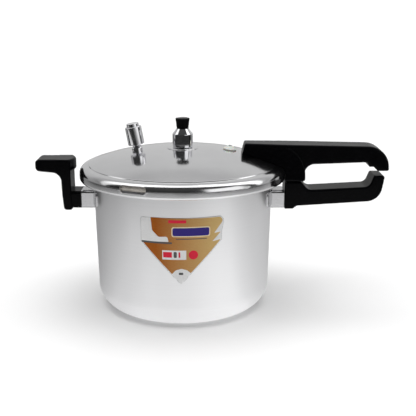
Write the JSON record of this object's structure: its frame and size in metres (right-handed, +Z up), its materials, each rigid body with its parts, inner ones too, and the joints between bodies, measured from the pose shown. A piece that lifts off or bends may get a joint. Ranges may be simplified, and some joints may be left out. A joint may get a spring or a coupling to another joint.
{
  "type": "stovetop pressure cooker",
  "caption": "Stovetop pressure cooker with bayonet domed lid, paired long handles, helper handle, lift-off vent weight, spring safety valve and safety plug.",
  "frame": {"origin": "centre of the pot's flat base, on the surface it stands on", "axes": "+Z up along the pot's axis, +X outward along the two long handles, -Y towards the label"},
  "size_m": [0.4477, 0.2624, 0.2424],
  "materials": {
    "satin_aluminium": "satin, faint brushing round the pot",
    "polished_aluminium": "polished, soft mirror",
    "bakelite": "black phenolic, soft gloss",
    "chrome": "bright plated",
    "zinc_steel": "plain plated steel",
    "rivet_aluminium": "pressed",
    "gasket_rubber": "matt",
    "black_rubber": "matt",
    "plug_silicone": "satin off-white",
    "fusible_alloy": "dull grey alloy",
    "label": "printed film, brown to gold"
  },
  "bodies": {
    "pot": {"pot_body": "satin_aluminium", "pot_handle_bracket": "satin_aluminium", "helper_handle_bracket": "satin_aluminium", "pot_handle": "bakelite", "pot_handle_screw": "zinc_steel", "pot_handle_nut": "zinc_steel", "helper_handle": "bakelite", "helper_handle_screw": "zinc_steel", "front_label": "label"},
    "gasket": {"sealing_gasket": "gasket_rubber"},
    "lid": {"lid_shell": "polished_aluminium", "lid_handle": "bakelite", "lid_handle_bracket": "zinc_steel", "lid_handle_rivets": "rivet_aluminium", "lid_handle_screw": "zinc_steel", "lid_handle_nut": "zinc_steel", "vent_pipe": "chrome", "vent_washer": "polished_aluminium", "vent_seal": "black_rubber", "vent_nut": "zinc_steel", "valve_foot": "chrome", "valve_stem": "chrome", "valve_retainer": "zinc_steel", "valve_spring": "zinc_steel", "valve_seal": "black_rubber", "valve_nut": "zinc_steel", "safety_plug": "plug_silicone", "safety_plug_core": "fusible_alloy"},
    "weight": {"weight_body": "chrome", "weight_needle": "zinc_steel", "weight_knob": "bakelite"},
    "safety_valve": {"valve_barrel": "chrome", "valve_cap": "chrome", "valve_needle": "zinc_steel"}
  },
  "joints": [
    {"name": "lid_lift", "type": "slide", "parent": "pot", "child": "gasket", "axis": [0, 0, 1], "range_m": [0, 0.12]},
    {"name": "lid_turn", "type": "hinge", "parent": "gasket", "child": "lid", "pos_m": [0, 0, 0.17], "axis": [0, 0, 1], "range_deg": [0, 30]},
    {"name": "weight_lift", "type": "slide", "parent": "lid", "child": "weight", "axis": [0, 0, 1], "range_m": [0, 0.04]},
    {"name": "safety_valve_lift", "type": "slide", "parent": "lid", "child": "safety_valve", "axis": [-0.1736, 0, 0.9848], "range_m": [0, 0.002], "stiffness_N_per_m": 1500, "springref_m": -0.002, "deforming": ["valve_spring"]}
  ]
}
